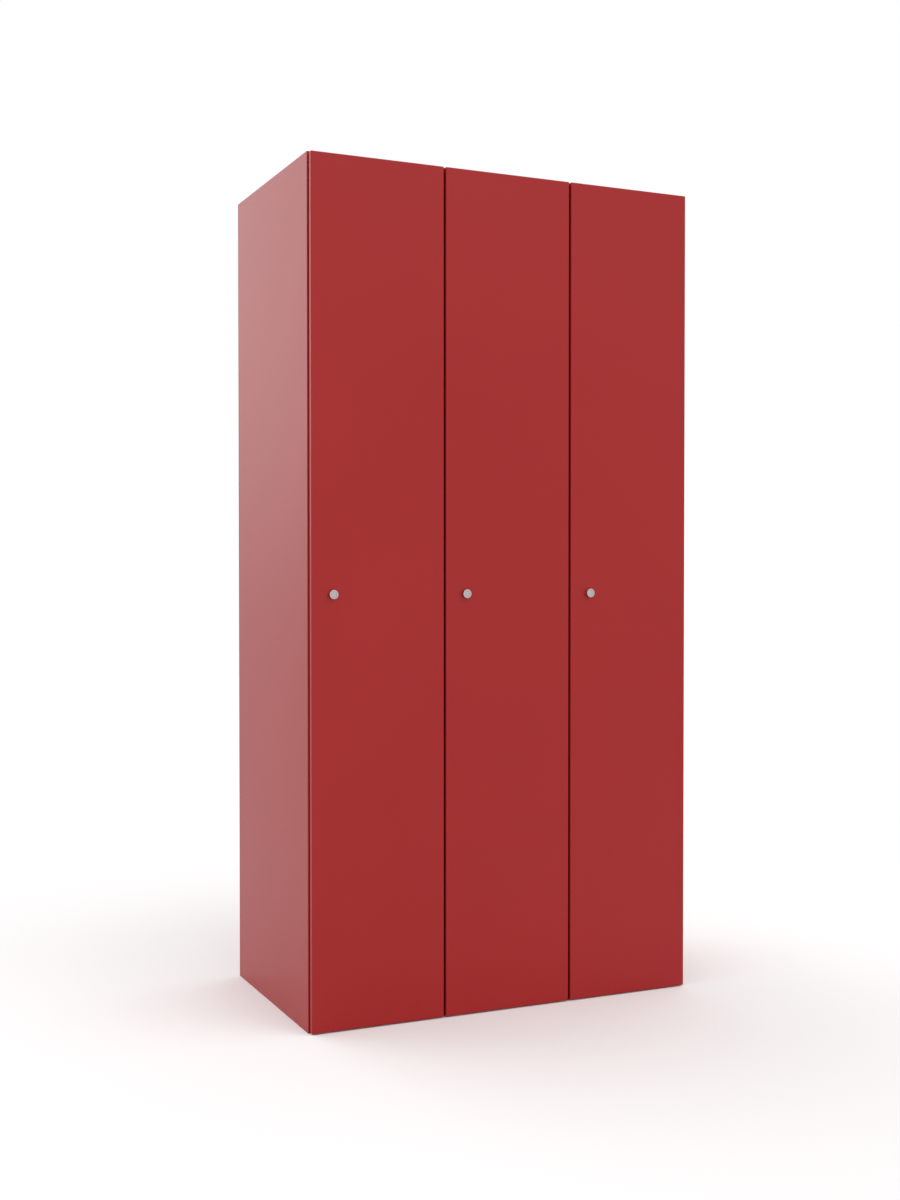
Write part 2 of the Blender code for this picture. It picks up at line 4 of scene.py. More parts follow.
import bmesh
import bpy
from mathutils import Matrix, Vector


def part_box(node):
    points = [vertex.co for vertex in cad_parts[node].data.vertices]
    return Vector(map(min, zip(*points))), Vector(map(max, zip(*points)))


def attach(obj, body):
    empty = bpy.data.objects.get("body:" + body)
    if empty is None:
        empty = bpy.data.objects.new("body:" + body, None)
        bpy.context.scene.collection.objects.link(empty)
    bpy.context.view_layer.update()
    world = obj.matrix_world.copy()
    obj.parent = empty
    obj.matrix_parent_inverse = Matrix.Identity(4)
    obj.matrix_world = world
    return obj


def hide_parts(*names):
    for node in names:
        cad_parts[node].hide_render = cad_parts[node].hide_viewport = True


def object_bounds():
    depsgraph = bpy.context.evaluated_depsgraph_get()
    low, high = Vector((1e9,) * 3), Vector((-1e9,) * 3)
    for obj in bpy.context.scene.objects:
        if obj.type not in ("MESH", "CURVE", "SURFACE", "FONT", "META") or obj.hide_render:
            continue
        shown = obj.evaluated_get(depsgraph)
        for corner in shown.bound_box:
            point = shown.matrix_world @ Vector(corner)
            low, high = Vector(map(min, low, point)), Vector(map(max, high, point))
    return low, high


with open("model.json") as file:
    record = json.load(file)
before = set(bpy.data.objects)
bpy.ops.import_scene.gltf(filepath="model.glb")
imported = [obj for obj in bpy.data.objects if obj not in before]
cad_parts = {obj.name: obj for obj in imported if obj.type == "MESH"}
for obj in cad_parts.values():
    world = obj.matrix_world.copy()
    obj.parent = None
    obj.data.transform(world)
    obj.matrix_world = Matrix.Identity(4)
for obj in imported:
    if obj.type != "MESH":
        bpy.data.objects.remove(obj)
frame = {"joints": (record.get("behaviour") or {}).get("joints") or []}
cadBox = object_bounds()
mm = 0.001
columns = ("1", "2", "3")
innerWalls = columns[:2]                         # a post and a divider stand to the right of these
columnEnds = [f"{end}_{column}" for column in columns for end in ("lower", "upper")]
axisOf = {joint["name"]: Vector(joint["pos_m"]) for joint in frame["joints"]}

# the folded sheet of the whole bank
sheet = {"thickness": 1.0 * mm, "foldRadius": 1.2 * mm, "foldSteps": 5, "foldAngle": math.radians(45),
         "smoothAngle": math.radians(40), "flatWeight": 100}
half = sheet["thickness"] / 2
up, down = Vector((0, 0, 1)), Vector((0, 0, -1))
toFront, toBack = Vector((0, -1, 0)), Vector((0, 1, 0))
toLeft, toRight = Vector((-1, 0, 0)), Vector((1, 0, 0))

# how closely a face or a point has to agree with what is looked for
agree = {"facing": 0.9, "place": 0.02 * mm, "radius": 0.05 * mm, "merge": 0.001 * mm}


def endEdit():
    bpy.ops.object.mode_set(mode="OBJECT")


def selectOnly(piece):
    if bpy.context.mode != "OBJECT":
        endEdit()
    bpy.ops.object.select_all(action="DESELECT")
    piece.select_set(True)
    bpy.context.view_layer.objects.active = piece


def startEdit(piece):
    selectOnly(piece)
    bpy.ops.object.mode_set(mode="EDIT")


def settle(name):                                # the new primitive's place goes into its mesh
    piece = bpy.context.active_object
    piece.name = name
    bpy.ops.object.transform_apply(location=True, rotation=True, scale=True)
    return piece


def addBlock(name, low, high):
    low, high = Vector(low), Vector(high)
    bpy.ops.object.select_all(action="DESELECT")
    bpy.ops.mesh.primitive_cube_add(size=1, location=(low + high) / 2, scale=high - low)
    return settle(name)


def depthBlock(name, axis, front, rear, width, height):      # a block round a front-to-back axis
    aside, above = width / 2, height / 2
    return addBlock(name, (axis.x - aside, front, axis.z - above), (axis.x + aside, rear, axis.z + above))


def addRod(name, start, end, radius, sides):     # a round bar between two points on one axis
    start, end = Vector(start), Vector(end)
    along = end - start
    turn = along.to_track_quat("Z", "Y").to_euler()
    bpy.ops.object.select_all(action="DESELECT")
    bpy.ops.mesh.primitive_cylinder_add(vertices=sides, radius=radius, depth=along.length,
                                        location=(start + end) / 2, rotation=turn)
    return settle(name)


def depthRod(name, axis, front, rear, radius, sides=48):
    return addRod(name, (axis.x, front, axis.z), (axis.x, rear, axis.z), radius, sides)


def uprightRod(name, axis, bottom, top, radius, sides=48):
    return addRod(name, (axis.x, axis.y, bottom), (axis.x, axis.y, top), radius, sides)


def addDome(name, place, radius, height, sides, rings):      # a flat ball with its pole to the front
    bpy.ops.object.select_all(action="DESELECT")
    bpy.ops.mesh.primitive_uv_sphere_add(segments=sides, ring_count=rings, radius=1, location=place,
                                         rotation=(math.pi / 2, 0, 0), scale=(radius, radius, height))
    return settle(name)


def pick(piece, kind, test):                     # kind is FACE or EDGE
    bpy.ops.mesh.select_mode(type=kind)
    bpy.ops.mesh.select_all(action="DESELECT")
    cage = bmesh.from_edit_mesh(piece.data)
    cage.normal_update()
    for item in (cage.faces if kind == "FACE" else cage.edges):
        if test(item):
            item.select_set(True)
    bmesh.update_edit_mesh(piece.data)


def facing(*directions):
    return lambda face: any(face.normal.dot(way) > agree["facing"] for way in directions)


def lying(axisPlaces):                           # an edge whose two ends are at these places, by axis
    def test(edge):
        return all(abs(end.co[axis] - place) < agree["place"]
                   for end in edge.verts for axis, place in axisPlaces.items())
    return test


def onRim(axis, radius, y):                      # an edge on a circle round a front-to-back axis
    def test(edge):
        return all(abs(math.hypot(end.co.x - axis.x, end.co.z - axis.z) - radius) < agree["radius"]
                   and abs(end.co.y - y) < agree["place"] for end in edge.verts)
    return test


def isRim(edge):
    return edge.is_boundary


def isFold(edge):
    return len(edge.link_faces) == 2 and edge.calc_face_angle() > sheet["foldAngle"]


def goesThrough(edge):                           # from the front of a plate to its back
    return abs(edge.verts[0].co.y - edge.verts[1].co.y) > half


def pullEdges(piece, test, move):                # a flange comes out of the chosen edges
    pick(piece, "EDGE", test)
    bpy.ops.mesh.extrude_edges_move(TRANSFORM_OT_translate={"value": move})


def pullFaces(move):                             # the chosen faces go on by a straight stretch
    bpy.ops.mesh.extrude_region_move(TRANSFORM_OT_translate={"value": move})


def bevelEdges(piece, test, width, steps):
    pick(piece, "EDGE", test)
    bpy.ops.mesh.bevel(offset=width, segments=steps, affect="EDGES")


def removeSides(piece, *directions):
    pick(piece, "FACE", facing(*directions))
    bpy.ops.mesh.delete(type="FACE")


def turnOutwards():
    bpy.ops.mesh.select_all(action="SELECT")
    bpy.ops.mesh.normals_make_consistent(inside=False)


def roundFolds(piece, radius):
    turnOutwards()
    bevelEdges(piece, isFold, radius, sheet["foldSteps"])


def thicken(piece):                              # half the sheet to each side of the folded surface
    endEdit()
    wall = piece.modifiers.new("sheet", "SOLIDIFY")
    wall.thickness = sheet["thickness"]
    wall.offset = 0
    wall.solidify_mode = "NON_MANIFOLD"
    wall.nonmanifold_thickness_mode = "CONSTRAINTS"
    bpy.ops.object.modifier_apply(modifier=wall.name)


def useTools(piece, operation, tools):           # cuts or joins with other shapes, which then go
    selectOnly(piece)
    for tool in tools:
        step = piece.modifiers.new("tool", "BOOLEAN")
        step.operation = operation
        step.solver = "EXACT"
        step.object = tool
        bpy.ops.object.modifier_apply(modifier=step.name)
        bpy.data.objects.remove(tool, do_unlink=True)


def softenEdges(piece, width, steps=2, angle=math.radians(50)):
    selectOnly(piece)
    soft = piece.modifiers.new("edges", "BEVEL")
    soft.width = width
    soft.segments = steps
    soft.limit_method = "ANGLE"
    soft.angle_limit = angle
    bpy.ops.object.modifier_apply(modifier=soft.name)


def finishPiece(piece, material, body, node):
    selectOnly(piece)
    piece.data.materials.clear()
    piece.data.materials.append(material)
    bpy.ops.object.shade_smooth_by_angle(angle=sheet["smoothAngle"])
    even = piece.modifiers.new("evenShade", "WEIGHTED_NORMAL")   # keeps the large flats flat
    even.weight = sheet["flatWeight"]
    even.keep_sharp = True
    bpy.ops.object.modifier_apply(modifier=even.name)
    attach(piece, body)
    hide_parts(node)


def spread(first, label, node, places, materials, body):
    # copies the first piece to its other places, each with its own mesh, and finishes them all
    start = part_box(node.format(places[0]))[0]
    pieces = [first]
    for place in places[1:]:
        selectOnly(first)
        bpy.ops.object.duplicate()
        bpy.context.active_object.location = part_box(node.format(place))[0] - start
        bpy.ops.object.transform_apply(location=True, rotation=True, scale=True)
        pieces.append(bpy.context.active_object)
    for piece, place in zip(pieces, places):
        column = place[-1]
        piece.name = f"{label}_{place}"
        finishPiece(piece, materials[column], body.format(column), node.format(place))


# finishes: each is a small node tree on the piece's own coordinates
# a noise is given as its scale and its detail
noiseSpan = (0.3, 0.7)                           # most of a noise lies between these


def newFinish(name):
    material = bpy.data.materials.new(name)
    material.use_nodes = True
    tree = material.node_tree
    place = tree.nodes.new("ShaderNodeTexCoord").outputs["Object"]
    return material, tree, place, tree.nodes["Principled BSDF"]


def addNoise(tree, place, scale, detail, stretch=None):
    if stretch:
        mapping = tree.nodes.new("ShaderNodeMapping")
        mapping.inputs["Scale"].default_value = stretch
        tree.links.new(place, mapping.inputs["Vector"])
        place = mapping.outputs["Vector"]
    noise = tree.nodes.new("ShaderNodeTexNoise")
    noise.inputs["Scale"].default_value = scale
    noise.inputs["Detail"].default_value = detail
    tree.links.new(place, noise.inputs["Vector"])
    return noise.outputs["Fac"]


def addTones(tree, factor, dark, light):
    ramp = tree.nodes.new("ShaderNodeValToRGB")
    for stop, position, tone in zip(ramp.color_ramp.elements, noiseSpan, (dark, light)):
        stop.position = position
        stop.color = (*tone, 1)
    tree.links.new(factor, ramp.inputs["Fac"])
    return ramp.outputs["Color"]


def addRange(tree, factor, low, high):
    scaled = tree.nodes.new("ShaderNodeMapRange")
    for socket, value in zip(("From Min", "From Max", "To Min", "To Max"), (*noiseSpan, low, high)):
        scaled.inputs[socket].default_value = value
    tree.links.new(factor, scaled.inputs["Value"])
    return scaled.outputs["Result"]


def addBump(tree, height, depth, strength):
    bump = tree.nodes.new("ShaderNodeBump")
    bump.inputs["Strength"].default_value = strength
    bump.inputs["Distance"].default_value = depth
    tree.links.new(height, bump.inputs["Height"])
    return bump.outputs["Normal"]


redCoat = {"dark": (0.338, 0.0105, 0.0110), "light": (0.356, 0.0130, 0.0135), "rough": (0.30, 0.37),
           "gloss": 0.29, "cloud": (2.2, 3.0), "grain": (260.0, 2.0), "peel": (420.0, 1.0),
           "peelDepth": 0.05 * mm, "peelStrength": 0.07}


def makeRedCoat():                               # semi-gloss powder coat with a faint orange peel
    material, tree, place, shader = newFinish("redCoat")
    cloud = addNoise(tree, place, *redCoat["cloud"])
    grain = addNoise(tree, place, *redCoat["grain"])
    peel = addNoise(tree, place, *redCoat["peel"])
    normal = addBump(tree, peel, redCoat["peelDepth"], redCoat["peelStrength"])
    tree.links.new(addTones(tree, cloud, redCoat["dark"], redCoat["light"]), shader.inputs["Base Color"])
    tree.links.new(addRange(tree, grain, *redCoat["rough"]), shader.inputs["Roughness"])
    tree.links.new(normal, shader.inputs["Normal"])
    shader.inputs["Specular IOR Level"].default_value = redCoat["gloss"]
    return material


zinc = {"dark": (0.53, 0.535, 0.55), "light": (0.60, 0.60, 0.60), "rough": (0.30, 0.46),
        "bloom": (40.0, 4.0), "spangle": (260.0, 3.0), "depth": 0.03 * mm, "strength": 0.15}


def makeZinc():                                  # zinc plate: cloudy tone and a fine crystal grain
    material, tree, place, shader = newFinish("zincPlate")
    bloom = addNoise(tree, place, *zinc["bloom"])
    spangle = addNoise(tree, place, *zinc["spangle"])
    normal = addBump(tree, spangle, zinc["depth"], zinc["strength"])
    tree.links.new(addTones(tree, bloom, zinc["dark"], zinc["light"]), shader.inputs["Base Color"])
    tree.links.new(addRange(tree, spangle, *zinc["rough"]), shader.inputs["Roughness"])
    tree.links.new(normal, shader.inputs["Normal"])
    shader.inputs["Metallic"].default_value = 1.0
    return material


brightRail = {"dark": (0.63, 0.63, 0.64), "light": (0.72, 0.72, 0.72), "rough": (0.10, 0.20),
              "lines": (60.0, 3.0), "stretch": (0.15, 12.0, 12.0)}


def makeBrightPlate():                           # bright plate with polishing lines along the rail
    material, tree, place, shader = newFinish("brightPlate")
    lines = addNoise(tree, place, *brightRail["lines"], brightRail["stretch"])
    tones = addTones(tree, lines, brightRail["dark"], brightRail["light"])
    tree.links.new(tones, shader.inputs["Base Color"])
    tree.links.new(addRange(tree, lines, *brightRail["rough"]), shader.inputs["Roughness"])
    shader.inputs["Metallic"].default_value = 1.0
    return material


satinNickel = {"dark": (0.484, 0.434, 0.438), "light": (0.540, 0.484, 0.488), "rough": (0.30, 0.42),
               "cloud": (300.0, 3.0), "rings": 420.0, "ringWaver": 2.0, "ringDepth": 0.02 * mm,
               "ringStrength": 0.25}


def makeSatinNickel(column):                     # turned on a lathe, with rings round the lock's axis
    material, tree, place, shader = newFinish(f"satinNickel_{column}")
    centre = tree.nodes.new("ShaderNodeMapping")
    centre.inputs["Location"].default_value = -axisOf[f"lock_{column}_turn"]
    tree.links.new(place, centre.inputs["Vector"])
    rings = tree.nodes.new("ShaderNodeTexWave")
    rings.wave_type = "RINGS"
    rings.rings_direction = "Y"
    rings.inputs["Scale"].default_value = satinNickel["rings"]
    rings.inputs["Distortion"].default_value = satinNickel["ringWaver"]
    tree.links.new(centre.outputs["Vector"], rings.inputs["Vector"])
    cloud = addNoise(tree, place, *satinNickel["cloud"])
    tones = addTones(tree, cloud, satinNickel["dark"], satinNickel["light"])
    normal = addBump(tree, rings.outputs["Fac"], satinNickel["ringDepth"], satinNickel["ringStrength"])
    tree.links.new(tones, shader.inputs["Base Color"])
    tree.links.new(addRange(tree, cloud, *satinNickel["rough"]), shader.inputs["Roughness"])
    tree.links.new(normal, shader.inputs["Normal"])
    shader.inputs["Metallic"].default_value = 1.0
    return material


blackRubber = {"dark": (0.018, 0.018, 0.019), "light": (0.030, 0.030, 0.031), "rough": (0.7, 0.9),
               "grain": (900.0, 3.0), "depth": 0.04 * mm, "strength": 0.3}


def makeBlackRubber():
    material, tree, place, shader = newFinish("blackRubber")
    grain = addNoise(tree, place, *blackRubber["grain"])
    tones = addTones(tree, grain, blackRubber["dark"], blackRubber["light"])
    normal = addBump(tree, grain, blackRubber["depth"], blackRubber["strength"])
    tree.links.new(tones, shader.inputs["Base Color"])
    tree.links.new(addRange(tree, grain, *blackRubber["rough"]), shader.inputs["Roughness"])
    tree.links.new(normal, shader.inputs["Normal"])
    return material


redPaint = makeRedCoat()
zincPlate = makeZinc()
brightPlate = makeBrightPlate()
rubber = makeBlackRubber()
allRed = {column: redPaint for column in columns}
allZinc = {column: zincPlate for column in columns}
allRubber = {column: rubber for column in columns}
nickelOf = {column: makeSatinNickel(column) for column in columns}
print("finishes made:", len(bpy.data.materials))


# folded sheets of the cabinet
def foldedPan(name, low, high, mouth, lip, radius):
    # a box of sheet, open on one side, with a lip turned in around the mouth
    # low and high are its outer corners
    inset = Vector((half, half, half))
    low, high = low + inset, high - inset
    size, centre = high - low, (low + high) / 2
    pan = addBlock(name, low, high)
    startEdit(pan)
    pick(pan, "FACE", facing(mouth))
    bpy.ops.mesh.delete(type="ONLY_FACE")
    pullEdges(pan, isRim, (0, 0, 0))
    shrink = [1 if mouth[i] else 1 - 2 * (lip - half) / size[i] for i in range(3)]
    bpy.ops.transform.resize(value=shrink, center_override=centre)
    roundFolds(pan, radius)
    thicken(pan)
    return pan


lips = {"depth": 15 * mm, "relief": 0.3 * mm, "camPlay": 2 * mm, "reach": 3 * mm}
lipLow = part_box("floor_panel")[1].z + lips["relief"]
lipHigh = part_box("top_panel")[0].z - lips["relief"]


def camSpan():                                   # heights that a turning cam passes beside the frame
    low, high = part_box("lock_cam_1")
    axis = axisOf["lock_1_turn"]
    toFrame = axis.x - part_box("left_side_panel")[1].x
    tip = math.hypot(axis.z - low.z, (high.x - low.x) / 2)
    sweep = math.sqrt(tip ** 2 - toFrame ** 2)
    return axis.z - sweep - lips["camPlay"], high.z + lips["camPlay"]


def lipCutters(lipX, front, latched):
    # the lip stops at the floor and the top, and on the latch side it leaves room for the cam
    spans = [(-lips["reach"], lipLow), (lipHigh, cadBox[1].z + lips["reach"])]
    if latched:
        spans.append(camSpan())
    near = front + sheet["thickness"] + lips["relief"]
    far = front + lips["depth"] + lips["reach"]
    return [addBlock("lipCutter", (lipX - lips["reach"], near, low), (lipX + lips["reach"], far, high))
            for low, high in spans]


sidePanel = {"rearFlange": 20 * mm}


def makeSidePanel(name, node, outwards, latched):
    low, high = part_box(node)
    front, rear = low.y + half, high.y - half
    outer, inner = (low.x, high.x) if outwards == toLeft else (high.x, low.x)
    inwards = -outwards.x
    wall, lipX = outer + inwards * half, inner - inwards * half
    panel = addBlock(name, (min(wall, lipX), front, low.z), (max(wall, lipX), rear, high.z))
    startEdit(panel)
    removeSides(panel, up, down, -outwards)
    pick(panel, "EDGE", lying({0: lipX, 1: rear}))
    rearX = outer + inwards * sidePanel["rearFlange"]
    bpy.ops.transform.translate(value=(rearX - lipX, 0, 0))
    pullEdges(panel, lying({0: lipX, 1: front}), (0, lips["depth"] - half, 0))
    roundFolds(panel, sheet["foldRadius"])
    thicken(panel)
    useTools(panel, "DIFFERENCE", lipCutters(lipX, low.y, latched))
    finishPiece(panel, redPaint, "cabinet", node)


def makeFrontPosts():
    low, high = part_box("front_post_1")
    post = addBlock("frontPost", (low.x + half, low.y + half, low.z), (high.x - half, high.y, high.z))
    startEdit(post)
    removeSides(post, up, down, toBack)
    roundFolds(post, sheet["foldRadius"])
    thicken(post)
    useTools(post, "DIFFERENCE", lipCutters(low.x + half, low.y, False))
    useTools(post, "DIFFERENCE", lipCutters(high.x - half, low.y, True))
    spread(post, "frontPost", "front_post_{}", innerWalls, allRed, "cabinet")


def makeDividers():
    low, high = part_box("divider_1")
    topLow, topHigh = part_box("top_panel")
    wall = addBlock("divider", (low.x, low.y + half, low.z), (high.x - half, high.y, high.z))
    startEdit(wall)
    removeSides(wall, up, down, toBack, toLeft)
    roundFolds(wall, sheet["foldRadius"])
    thicken(wall)
    reach = trayLip["top"] + lips["relief"]      # the top's lips pass through the two corner cuts
    cornerCuts = [((low.y - half, lipHigh), (topLow.y + reach, high.z + half)),
                  ((topHigh.y - reach, lipHigh), (high.y + half, high.z + half))]
    useTools(wall, "DIFFERENCE", [addBlock("cornerCut", (low.x - half, *start), (high.x + half, *end))
                                  for start, end in cornerCuts])
    spread(wall, "divider", "divider_{}", innerWalls, allRed, "cabinet")


backSheet = {"edge": 0.2 * mm, "markRadius": 4.2 * mm, "markThickness": 1.0 * mm, "markDepth": 0.25 * mm,
             "markSides": 16, "markRings": 12, "sideInset": 10 * mm, "endInset": 16 * mm,
             "pitch": 120 * mm, "marksUp": 14, "marksAside": 3}


def makeBackPanel():
    low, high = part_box("back_panel")
    panel = addBlock("backPanel", low, high)
    softenEdges(panel, backSheet["edge"])
    # marks of the spot welds, upright at the flanges and dividers and level at the top and the floor
    pitch, aside = backSheet["pitch"], backSheet["marksAside"]
    uprights = [low.x + backSheet["sideInset"], high.x - backSheet["sideInset"]]
    uprights += [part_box(f"divider_{column}")[1].x - half for column in innerWalls]
    levels = [low.z + backSheet["endInset"], high.z - backSheet["endInset"]]
    spots = [(x, step * pitch) for step in range(1, backSheet["marksUp"] + 1) for x in uprights]
    spots += [(step * pitch, z) for step in range(-aside, aside + 1) for z in levels]
    y = high.y + backSheet["markThickness"] - backSheet["markDepth"]
    marks = [addDome("weldMark", (x, y, z), backSheet["markRadius"], backSheet["markThickness"],
                     backSheet["markSides"], backSheet["markRings"]) for x, z in spots]
    for mark in marks:
        mark.select_set(True)
    bpy.ops.object.join()
    useTools(panel, "DIFFERENCE", [bpy.context.active_object])
    finishPiece(panel, redPaint, "cabinet", "back_panel")


trayLip = {"top": 20 * mm, "floor": 20 * mm, "shelf": 12 * mm}


def makeTrays():
    trays = [("topPanel", "top_panel", trayLip["top"]), ("floorPanel", "floor_panel", trayLip["floor"])]
    trays += [(f"hatShelf_{column}", f"hat_shelf_{column}", trayLip["shelf"]) for column in columns]
    for name, node, lip in trays:
        tray = foldedPan(name, *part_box(node), down, lip, sheet["foldRadius"])
        finishPiece(tray, redPaint, "cabinet", node)


makeSidePanel("leftSidePanel", "left_side_panel", toLeft, True)
makeSidePanel("rightSidePanel", "right_side_panel", toRight, False)
makeFrontPosts()
makeDividers()
makeBackPanel()
makeTrays()
print("cabinet sheets folded")

# round rod under each shelf, bent up at both ends
clothesRail = {"radius": 5 * mm, "bend": 18 * mm, "sides": 32, "bendSteps": 12}


def makeClothesRail(column):
    node = f"clothes_rail_{column}"
    low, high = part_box(node)
    radius, bend = clothesRail["radius"], clothesRail["bend"]
    left, right = low.x + radius, high.x - radius
    axisZ, y = low.z + radius, (low.y + high.y) / 2
    bpy.ops.object.select_all(action="DESELECT")
    bpy.ops.mesh.primitive_circle_add(vertices=clothesRail["sides"], radius=radius,
                                      location=(left, y, high.z))
    rail = settle(f"clothesRail_{column}")
    startEdit(rail)
    bpy.ops.mesh.select_all(action="SELECT")
    quarter = {"steps": clothesRail["bendSteps"], "angle": math.pi / 2, "axis": toFront}
    bpy.ops.mesh.extrude_edges_move(TRANSFORM_OT_translate={"value": (0, 0, axisZ + bend - high.z)})
    bpy.ops.mesh.spin(center=(left + bend, y, axisZ + bend), **quarter)
    bpy.ops.mesh.extrude_edges_move(TRANSFORM_OT_translate={"value": (right - left - 2 * bend, 0, 0)})
    bpy.ops.mesh.spin(center=(right - bend, y, axisZ + bend), **quarter)
    bpy.ops.mesh.extrude_edges_move(TRANSFORM_OT_translate={"value": (0, 0, high.z - axisZ - bend)})
    pick(rail, "EDGE", isRim)
    bpy.ops.mesh.fill_holes(sides=0)
    bpy.ops.mesh.select_all(action="SELECT")
    bpy.ops.mesh.remove_doubles(threshold=agree["merge"])
    turnOutwards()
    endEdit()
    finishPiece(rail, brightPlate, "cabinet", node)


for column in columns:
    makeClothesRail(column)
print("clothes rails bent")

# doors: a pan with rolled edges, notched for the hinges and bored for the lock
doorPan = {"lip": 18 * mm, "edgeRadius": 2 * mm, "play": 1 * mm, "notchFront": 1.6 * mm,
           "lockBore": 8.3 * mm, "boreDepth": 3 * mm, "boreSides": 64}


def makeDoors():
    low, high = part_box("door_skin_1")
    door = foldedPan("doorSkin", low, high, toBack, doorPan["lip"], doorPan["edgeRadius"] - half)
    play = doorPan["play"]
    notchFront = axisOf["door_1_swing"].y - doorPan["notchFront"]
    cuts = []
    for end in ("lower", "upper"):
        leafLow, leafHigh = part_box(f"hinge_frame_leaf_{end}_1")
        cuts.append(addBlock("hingeNotch", (leafLow.x - play, notchFront, leafLow.z - play),
                             (high.x + play, high.y + play, leafHigh.z + play)))
    lock, depth = axisOf["lock_1_turn"], doorPan["boreDepth"]
    cuts.append(depthRod("lockBore", lock, lock.y - depth, lock.y + depth, doorPan["lockBore"],
                         doorPan["boreSides"]))
    useTools(door, "DIFFERENCE", cuts)
    spread(door, "doorSkin", "door_skin_{}", columns, allRed, "door_{}")


stiffener = {"crown": 40 * mm, "foot": 14 * mm}


def makeStiffeners():
    low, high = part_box("door_stiffener_1")
    middle = (low.x + high.x) / 2
    left, right = middle - stiffener["crown"] / 2, middle + stiffener["crown"] / 2
    channel = addBlock("doorStiffener", (left, low.y + half, low.z), (right, high.y - half, high.z))
    startEdit(channel)
    removeSides(channel, up, down, toFront)
    pullEdges(channel, lying({0: left, 1: low.y + half}), (-stiffener["foot"], 0, 0))
    pullEdges(channel, lying({0: right, 1: low.y + half}), (stiffener["foot"], 0, 0))
    roundFolds(channel, sheet["foldRadius"])
    thicken(channel)
    spread(channel, "doorStiffener", "door_stiffener_{}", columns, allRed, "door_{}")


makeDoors()
makeStiffeners()
print("doors folded")

# pin hinges inside the right edge of each door
hinge = {"knuckle": 3.2 * mm, "knuckles": 3, "seam": 0.3 * mm, "leaf": 1.0 * mm, "lug": 2.1 * mm,
         "corner": 3 * mm, "cornerSteps": 6, "boreReach": 5 * mm,
         "rivet": 2.6 * mm, "rivetHeight": 0.9 * mm, "rivetSides": 24, "rivetRings": 12,
         "pin": 2.0 * mm, "pinSides": 32, "pinHead": 3.0 * mm, "headHeight": 1.5 * mm,
         "headEdge": 0.6 * mm, "headSteps": 4}


def addPlate(name, low, high):                   # hinge leaf with round corners on its free edge
    plate = addBlock(name, low, high)
    onFreeEdge = lying({0: low[0]})
    startEdit(plate)
    bevelEdges(plate, lambda edge: onFreeEdge(edge) and goesThrough(edge), hinge["corner"],
               hinge["cornerSteps"])
    endEdit()
    return plate


def addRivets(x, y, middle, away):               # low domes above and below the middle of a hinge leaf
    return [addDome("rivet", (x, y, z), hinge["rivet"], hinge["rivetHeight"], hinge["rivetSides"],
                    hinge["rivetRings"]) for z in (middle - away, middle + away)]


def pinBore(axis, low, high):
    reach = hinge["boreReach"]
    return uprightRod("pinBore", axis, low - reach, high + reach, hinge["pin"] + hinge["seam"])


def makeFrameLeaves():
    low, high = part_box("hinge_frame_leaf_lower_1")
    axis, seam = axisOf["door_1_swing"], hinge["seam"]
    middle, halfKnuckle = (low.z + high.z) / 2, (high.z - low.z) / hinge["knuckles"] / 2
    plateFront = high.y - hinge["leaf"]
    leaf = addPlate("frameLeaf", (low.x, plateFront, low.z), high)
    lugLeft = axis.x - hinge["knuckle"] + seam
    lug = addBlock("lug", (lugLeft, axis.y, middle - halfKnuckle + seam),
                   (lugLeft + hinge["lug"], plateFront + half, middle + halfKnuckle - seam))
    knuckle = uprightRod("knuckle", axis, middle - halfKnuckle, middle + halfKnuckle, hinge["knuckle"])
    rivets = addRivets((low.x + lugLeft) / 2, plateFront, middle, 2 * halfKnuckle)
    useTools(leaf, "UNION", [lug, knuckle, *rivets])
    useTools(leaf, "DIFFERENCE", [pinBore(axis, low.z, high.z)])
    spread(leaf, "frameLeaf", "hinge_frame_leaf_{}", columnEnds, allZinc, "cabinet")


def makeDoorLeaves():
    low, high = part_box("hinge_door_leaf_lower_1")
    axis, seam = axisOf["door_1_swing"], hinge["seam"]
    middle = (low.z + high.z) / 2
    halfKnuckle = (high.z - low.z - 2 * seam) / hinge["knuckles"] / 2
    plateBack = low.y + hinge["leaf"]
    leaf = addPlate("doorLeaf", low, (axis.x + seam, plateBack, high.z))
    neckLeft, neckBack = axis.x - hinge["knuckle"] + seam, axis.y - hinge["pin"] - 2 * seam
    spans = [(low.z + seam, middle - halfKnuckle - seam), (middle + halfKnuckle + seam, high.z - seam)]
    parts = []
    for start, end in spans:
        parts.append(addBlock("neck", (neckLeft, low.y + half, start + seam),
                              (axis.x, neckBack, end - seam)))
        parts.append(uprightRod("knuckle", axis, start, end, hinge["knuckle"]))
    parts += addRivets((low.x + axis.x - hinge["knuckle"]) / 2, plateBack, middle, 2 * halfKnuckle)
    useTools(leaf, "UNION", parts)
    useTools(leaf, "DIFFERENCE", [pinBore(axis, low.z, high.z)])
    spread(leaf, "doorLeaf", "hinge_door_leaf_{}", columnEnds, allZinc, "door_{}")


def makeHingePins():
    low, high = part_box("hinge_pin_lower_1")
    axis = axisOf["door_1_swing"]
    neck = high.z - hinge["headHeight"]
    pin = uprightRod("hingePin", axis, low.z, neck, hinge["pin"], hinge["pinSides"])
    startEdit(pin)
    pick(pin, "FACE", facing(up))
    pullFaces((0, 0, 0))
    grow = hinge["pinHead"] / hinge["pin"]
    bpy.ops.transform.resize(value=(grow, grow, 1), center_override=(axis.x, axis.y, neck))
    pullFaces((0, 0, hinge["headHeight"]))
    bevelEdges(pin, lying({2: high.z}), hinge["headEdge"], hinge["headSteps"])
    endEdit()
    spread(pin, "hingePin", "hinge_pin_{}", columnEnds, allZinc, "door_{}")


makeFrameLeaves()
makeDoorLeaves()
makeHingePins()
print("hinges made")

